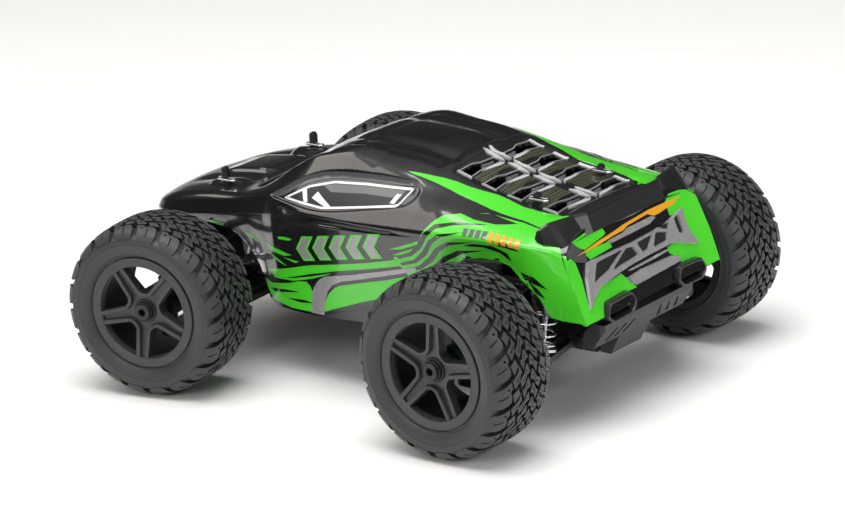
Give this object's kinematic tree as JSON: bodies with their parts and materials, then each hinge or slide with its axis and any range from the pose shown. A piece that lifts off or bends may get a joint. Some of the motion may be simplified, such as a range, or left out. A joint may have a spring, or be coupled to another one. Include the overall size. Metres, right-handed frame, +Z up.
{
  "type": "radio-controlled monster truck",
  "caption": "Radio-controlled monster truck with lift-off body, independent double-arm suspension, coil-over shocks, rack steering and shaft four-wheel drive.",
  "frame": {"origin": "on the ground, below the centre of the truck's bounding box and on its centre line", "axes": "+X towards the nose, +Y to the driver's left, +Z up"},
  "size_m": [0.336, 0.283, 0.1363],
  "materials": {
    "tyre_rubber": "matte moulded rubber with tread blocks",
    "rim_plastic": "satin moulded black nylon",
    "arm_plastic": "satin glass-filled black nylon",
    "chassis_plastic": "fine textured black plastic",
    "steel": "turned steel",
    "spring_steel": "bright wound wire",
    "gear_steel": "machined gear steel",
    "brass": "machined brass",
    "shock_plastic": "smooth black moulded plastic",
    "horn_plastic": "white nylon",
    "motor_can": "drawn zinc-plated steel",
    "electronics_case": "fine textured black plastic",
    "switch_plastic": "red moulded plastic",
    "battery_wrap": "shrink-wrapped blue film",
    "bumper_plastic": "satin dark grey plastic",
    "body_paint": "glossy printed polycarbonate, black over vivid green",
    "clip_wire": "bright spring wire"
  },
  "bodies": {
    "chassis": {"chassis_tub": "chassis_plastic", "gearbox_housings": "arm_plastic", "towers_and_posts": "arm_plastic", "bumpers": "bumper_plastic", "motor": "motor_can", "electronics": "electronics_case", "battery_pack": "battery_wrap"},
    "front_left_lower_arm": {"front_left_lower_arm": "arm_plastic"},
    "front_left_upper_link": {"front_left_upper_link": "arm_plastic"},
    "front_left_kingpins": {"front_left_kingpins": "steel"},
    "front_left_knuckle": {"front_left_knuckle": "arm_plastic"},
    "front_left_wheel": {"front_left_tyre": "tyre_rubber", "front_left_rim": "rim_plastic", "front_left_stub_axle": "steel"},
    "front_left_dogbone": {"front_left_dogbone": "steel"},
    "front_left_shock_body": {"front_left_shock_body": "shock_plastic", "front_left_spring": "spring_steel"},
    "front_left_shock_rod": {"front_left_shock_rod": "steel"},
    "front_right_lower_arm": {"front_right_lower_arm": "arm_plastic"},
    "front_right_upper_link": {"front_right_upper_link": "arm_plastic"},
    "front_right_kingpins": {"front_right_kingpins": "steel"},
    "front_right_knuckle": {"front_right_knuckle": "arm_plastic"},
    "front_right_wheel": {"front_right_tyre": "tyre_rubber", "front_right_rim": "rim_plastic", "front_right_stub_axle": "steel"},
    "front_right_dogbone": {"front_right_dogbone": "steel"},
    "front_right_shock_body": {"front_right_shock_body": "shock_plastic", "front_right_spring": "spring_steel"},
    "front_right_shock_rod": {"front_right_shock_rod": "steel"},
    "rear_left_lower_arm": {"rear_left_lower_arm": "arm_plastic"},
    "rear_left_upper_link": {"rear_left_upper_link": "arm_plastic"},
    "rear_left_hub_carrier": {"rear_left_hub_carrier": "arm_plastic"},
    "rear_left_wheel": {"rear_left_tyre": "tyre_rubber", "rear_left_rim": "rim_plastic", "rear_left_stub_axle": "steel"},
    "rear_left_dogbone": {"rear_left_dogbone": "steel"},
    "rear_left_shock_body": {"rear_left_shock_body": "shock_plastic", "rear_left_spring": "spring_steel"},
    "rear_left_shock_rod": {"rear_left_shock_rod": "steel"},
    "rear_right_lower_arm": {"rear_right_lower_arm": "arm_plastic"},
    "rear_right_upper_link": {"rear_right_upper_link": "arm_plastic"},
    "rear_right_hub_carrier": {"rear_right_hub_carrier": "arm_plastic"},
    "rear_right_wheel": {"rear_right_tyre": "tyre_rubber", "rear_right_rim": "rim_plastic", "rear_right_stub_axle": "steel"},
    "rear_right_dogbone": {"rear_right_dogbone": "steel"},
    "rear_right_shock_body": {"rear_right_shock_body": "shock_plastic", "rear_right_spring": "spring_steel"},
    "rear_right_shock_rod": {"rear_right_shock_rod": "steel"},
    "steering_rack": {"steering_rack": "arm_plastic"},
    "left_tie_rod": {"left_tie_rod": "steel"},
    "right_tie_rod": {"right_tie_rod": "steel"},
    "servo_horn": {"servo_horn": "horn_plastic"},
    "centre_shaft": {"centre_shaft": "gear_steel"},
    "motor_pinion": {"motor_pinion": "brass"},
    "front_diff": {"front_diff": "gear_steel"},
    "rear_diff": {"rear_diff": "gear_steel"},
    "power_switch": {"power_switch": "switch_plastic"},
    "body_shell": {"body_shell": "body_paint"},
    "body_clips": {"body_clips": "clip_wire"}
  },
  "joints": [
    {"name": "front_left_arm_swing", "type": "hinge", "parent": "chassis", "child": "front_left_lower_arm", "pos_m": [0.097, 0.022, 0.0355], "axis": [1, 0, 0], "range_deg": [-6, 9], "stiffness_Nm_per_rad": 1.6, "springref_deg": -6.3},
    {"name": "front_left_upper_link_swing", "type": "hinge", "parent": "chassis", "child": "front_left_upper_link", "pos_m": [0.097, 0.022, 0.0715], "axis": [1, 0, 0], "range_deg": [-6, 9]},
    {"name": "front_left_kingpin_tilt", "type": "hinge", "parent": "front_left_lower_arm", "child": "front_left_kingpins", "pos_m": [0.097, 0.102, 0.032], "axis": [1, 0, 0], "range_deg": [-9, 6]},
    {"name": "front_left_steer", "type": "hinge", "parent": "front_left_kingpins", "child": "front_left_knuckle", "pos_m": [0.097, 0.102, 0.05], "axis": [0, 0, 1], "range_deg": [-34, 10], "stiffness_Nm_per_rad": 0.4},
    {"name": "front_left_wheel_spin", "type": "hinge", "parent": "front_left_knuckle", "child": "front_left_wheel", "pos_m": [0.097, 0.102, 0.05], "axis": [-0.2079, 0.9781, 0], "continuous": true},
    {"name": "front_left_dogbone_spin", "type": "hinge", "parent": "front_left_lower_arm", "child": "front_left_dogbone", "pos_m": [0.097, 0.022, 0.0535], "axis": [0, 0.999, -0.0437], "continuous": true},
    {"name": "front_left_shock_swing", "type": "hinge", "parent": "chassis", "child": "front_left_shock_body", "pos_m": [0.1205, 0.047, 0.082], "axis": [1, 0, 0], "range_deg": [-1.85, 2.75]},
    {"name": "front_left_shock_stroke", "type": "slide", "parent": "front_left_shock_body", "child": "front_left_shock_rod", "axis": [0, -0.4083, 0.9129], "range_m": [-0.00451, 0.00672], "deforming": ["front_left_spring"]},
    {"name": "front_right_arm_swing", "type": "hinge", "parent": "chassis", "child": "front_right_lower_arm", "pos_m": [0.097, -0.022, 0.0355], "axis": [-1, 0, 0], "range_deg": [-6, 9], "stiffness_Nm_per_rad": 1.6, "springref_deg": -6.3},
    {"name": "front_right_upper_link_swing", "type": "hinge", "parent": "chassis", "child": "front_right_upper_link", "pos_m": [0.097, -0.022, 0.0715], "axis": [-1, 0, 0], "range_deg": [-6, 9]},
    {"name": "front_right_kingpin_tilt", "type": "hinge", "parent": "front_right_lower_arm", "child": "front_right_kingpins", "pos_m": [0.097, -0.102, 0.032], "axis": [-1, 0, 0], "range_deg": [-9, 6]},
    {"name": "front_right_steer", "type": "hinge", "parent": "front_right_kingpins", "child": "front_right_knuckle", "pos_m": [0.097, -0.102, 0.05], "axis": [0, 0, 1], "range_deg": [-34, 10]},
    {"name": "front_right_wheel_spin", "type": "hinge", "parent": "front_right_knuckle", "child": "front_right_wheel", "pos_m": [0.097, -0.102, 0.05], "axis": [-0.2079, 0.9781, 0], "continuous": true},
    {"name": "front_right_dogbone_spin", "type": "hinge", "parent": "front_right_lower_arm", "child": "front_right_dogbone", "pos_m": [0.097, -0.022, 0.0535], "axis": [0, 0.999, 0.0437], "continuous": true},
    {"name": "front_right_shock_swing", "type": "hinge", "parent": "chassis", "child": "front_right_shock_body", "pos_m": [0.1205, -0.047, 0.082], "axis": [-1, 0, 0], "range_deg": [-1.85, 2.75]},
    {"name": "front_right_shock_stroke", "type": "slide", "parent": "front_right_shock_body", "child": "front_right_shock_rod", "axis": [0, 0.4083, 0.9129], "range_m": [-0.00451, 0.00672], "deforming": ["front_right_spring"]},
    {"name": "rear_left_arm_swing", "type": "hinge", "parent": "chassis", "child": "rear_left_lower_arm", "pos_m": [-0.113, 0.022, 0.0355], "axis": [1, 0, 0], "range_deg": [-6, 9], "stiffness_Nm_per_rad": 1.6, "springref_deg": -6.88},
    {"name": "rear_left_upper_link_swing", "type": "hinge", "parent": "chassis", "child": "rear_left_upper_link", "pos_m": [-0.113, 0.022, 0.0715], "axis": [1, 0, 0], "range_deg": [-6, 9]},
    {"name": "rear_left_carrier_tilt", "type": "hinge", "parent": "rear_left_lower_arm", "child": "rear_left_hub_carrier", "pos_m": [-0.113, 0.092, 0.032], "axis": [1, 0, 0], "range_deg": [-9, 6]},
    {"name": "rear_left_wheel_spin", "type": "hinge", "parent": "rear_left_hub_carrier", "child": "rear_left_wheel", "pos_m": [-0.113, 0.102, 0.05], "axis": [0, 1, 0], "continuous": true},
    {"name": "rear_left_dogbone_spin", "type": "hinge", "parent": "rear_left_lower_arm", "child": "rear_left_dogbone", "pos_m": [-0.113, 0.022, 0.0535], "axis": [0, 0.9988, -0.0499], "continuous": true},
    {"name": "rear_left_shock_swing", "type": "hinge", "parent": "chassis", "child": "rear_left_shock_body", "pos_m": [-0.1365, 0.052, 0.093], "axis": [1, 0, 0], "range_deg": [-0.77, 1.13]},
    {"name": "rear_left_shock_stroke", "type": "slide", "parent": "rear_left_shock_body", "child": "rear_left_shock_rod", "axis": [0, -0.2538, 0.9673], "range_m": [-0.00469, 0.00698], "deforming": ["rear_left_spring"]},
    {"name": "rear_right_arm_swing", "type": "hinge", "parent": "chassis", "child": "rear_right_lower_arm", "pos_m": [-0.113, -0.022, 0.0355], "axis": [-1, 0, 0], "range_deg": [-6, 9], "stiffness_Nm_per_rad": 1.6, "springref_deg": -6.88},
    {"name": "rear_right_upper_link_swing", "type": "hinge", "parent": "chassis", "child": "rear_right_upper_link", "pos_m": [-0.113, -0.022, 0.0715], "axis": [-1, 0, 0], "range_deg": [-6, 9]},
    {"name": "rear_right_carrier_tilt", "type": "hinge", "parent": "rear_right_lower_arm", "child": "rear_right_hub_carrier", "pos_m": [-0.113, -0.092, 0.032], "axis": [-1, 0, 0], "range_deg": [-9, 6]},
    {"name": "rear_right_wheel_spin", "type": "hinge", "parent": "rear_right_hub_carrier", "child": "rear_right_wheel", "pos_m": [-0.113, -0.102, 0.05], "axis": [0, 1, 0], "continuous": true},
    {"name": "rear_right_dogbone_spin", "type": "hinge", "parent": "rear_right_lower_arm", "child": "rear_right_dogbone", "pos_m": [-0.113, -0.022, 0.0535], "axis": [0, 0.9988, 0.0499], "continuous": true},
    {"name": "rear_right_shock_swing", "type": "hinge", "parent": "chassis", "child": "rear_right_shock_body", "pos_m": [-0.1365, -0.052, 0.093], "axis": [-1, 0, 0], "range_deg": [-0.77, 1.13]},
    {"name": "rear_right_shock_stroke", "type": "slide", "parent": "rear_right_shock_body", "child": "rear_right_shock_rod", "axis": [0, 0.2538, 0.9673], "range_m": [-0.00469, 0.00698], "deforming": ["rear_right_spring"]},
    {"name": "rack_slide", "type": "slide", "parent": "chassis", "child": "steering_rack", "axis": [0, 1, 0], "range_m": [-0.0026, 0.0083]},
    {"name": "left_tie_rod_swing", "type": "hinge", "parent": "steering_rack", "child": "left_tie_rod", "pos_m": [0.072, 0.01909, 0.0625], "axis": [1, 0, 0], "range_deg": [-6, 9]},
    {"name": "right_tie_rod_swing", "type": "hinge", "parent": "steering_rack", "child": "right_tie_rod", "pos_m": [0.072, -0.02491, 0.0625], "axis": [-1, 0, 0], "range_deg": [-6, 9]},
    {"name": "servo_horn_turn", "type": "hinge", "parent": "chassis", "child": "servo_horn", "pos_m": [0.0656, 0.016, 0.049], "axis": [1, 0, 0], "range_deg": [-36, 11]},
    {"name": "centre_shaft_spin", "type": "hinge", "parent": "chassis", "child": "centre_shaft", "pos_m": [-0.008, 0, 0.0535], "axis": [1, 0, 0], "continuous": true},
    {"name": "motor_pinion_spin", "type": "hinge", "parent": "chassis", "child": "motor_pinion", "pos_m": [-0.008, 0.0224, 0.0535], "axis": [1, 0, 0], "continuous": true},
    {"name": "front_diff_spin", "type": "hinge", "parent": "chassis", "child": "front_diff", "pos_m": [0.097, 0, 0.0535], "axis": [0, 1, 0], "continuous": true},
    {"name": "rear_diff_spin", "type": "hinge", "parent": "chassis", "child": "rear_diff", "pos_m": [-0.113, 0, 0.0535], "axis": [0, 1, 0], "continuous": true},
    {"name": "power_switch_slide", "type": "slide", "parent": "chassis", "child": "power_switch", "axis": [1, 0, 0], "range_m": [0, 0.003]},
    {"name": "body_lift", "type": "slide", "parent": "chassis", "child": "body_shell", "axis": [0, 0, 1], "range_m": [0, 0.09]},
    {"name": "body_clip_pull", "type": "slide", "parent": "body_shell", "child": "body_clips", "axis": [-1, 0, 0], "range_m": [0, 0.012]}
  ],
  "couplings": [
    {"joint": "front_left_upper_link_swing", "follows": "front_left_arm_swing", "ratio": 1},
    {"joint": "front_left_kingpin_tilt", "follows": "front_left_arm_swing", "ratio": -1},
    {"joint": "front_left_wheel_spin", "follows": "rear_left_wheel_spin", "ratio": 1},
    {"joint": "front_left_dogbone_spin", "follows": "rear_left_wheel_spin", "ratio": 1},
    {"joint": "front_left_shock_swing", "follows": "front_left_arm_swing", "ratio": 0.29985},
    {"joint": "front_left_shock_stroke", "follows": "front_left_arm_swing", "m_per_rad": 0.042142},
    {"joint": "front_right_upper_link_swing", "follows": "front_right_arm_swing", "ratio": 1},
    {"joint": "front_right_kingpin_tilt", "follows": "front_right_arm_swing", "ratio": -1},
    {"joint": "front_right_steer", "follows": "front_left_steer", "ratio": 1},
    {"joint": "front_right_wheel_spin", "follows": "rear_left_wheel_spin", "ratio": 1},
    {"joint": "front_right_dogbone_spin", "follows": "rear_left_wheel_spin", "ratio": 1},
    {"joint": "front_right_shock_swing", "follows": "front_right_arm_swing", "ratio": 0.29985},
    {"joint": "front_right_shock_stroke", "follows": "front_right_arm_swing", "m_per_rad": 0.042142},
    {"joint": "rear_left_upper_link_swing", "follows": "rear_left_arm_swing", "ratio": 1},
    {"joint": "rear_left_carrier_tilt", "follows": "rear_left_arm_swing", "ratio": -1},
    {"joint": "rear_left_dogbone_spin", "follows": "rear_left_wheel_spin", "ratio": 1},
    {"joint": "rear_left_shock_swing", "follows": "rear_left_arm_swing", "ratio": 0.11958},
    {"joint": "rear_left_shock_stroke", "follows": "rear_left_arm_swing", "m_per_rad": 0.043794},
    {"joint": "rear_right_upper_link_swing", "follows": "rear_right_arm_swing", "ratio": 1},
    {"joint": "rear_right_carrier_tilt", "follows": "rear_right_arm_swing", "ratio": -1},
    {"joint": "rear_right_wheel_spin", "follows": "rear_left_wheel_spin", "ratio": 1},
    {"joint": "rear_right_dogbone_spin", "follows": "rear_left_wheel_spin", "ratio": 1},
    {"joint": "rear_right_shock_swing", "follows": "rear_right_arm_swing", "ratio": 0.11958},
    {"joint": "rear_right_shock_stroke", "follows": "rear_right_arm_swing", "m_per_rad": 0.043794},
    {"joint": "rack_slide", "follows": "front_left_steer", "m_per_rad": -0.01366},
    {"joint": "left_tie_rod_swing", "follows": "front_left_arm_swing", "ratio": 1},
    {"joint": "right_tie_rod_swing", "follows": "front_right_arm_swing", "ratio": 1},
    {"joint": "servo_horn_turn", "follows": "front_left_steer", "ratio": 1.036},
    {"joint": "centre_shaft_spin", "follows": "rear_left_wheel_spin", "ratio": -3},
    {"joint": "motor_pinion_spin", "follows": "rear_left_wheel_spin", "ratio": 7.5},
    {"joint": "front_diff_spin", "follows": "rear_left_wheel_spin", "ratio": 1},
    {"joint": "rear_diff_spin", "follows": "rear_left_wheel_spin", "ratio": 1}
  ]
}
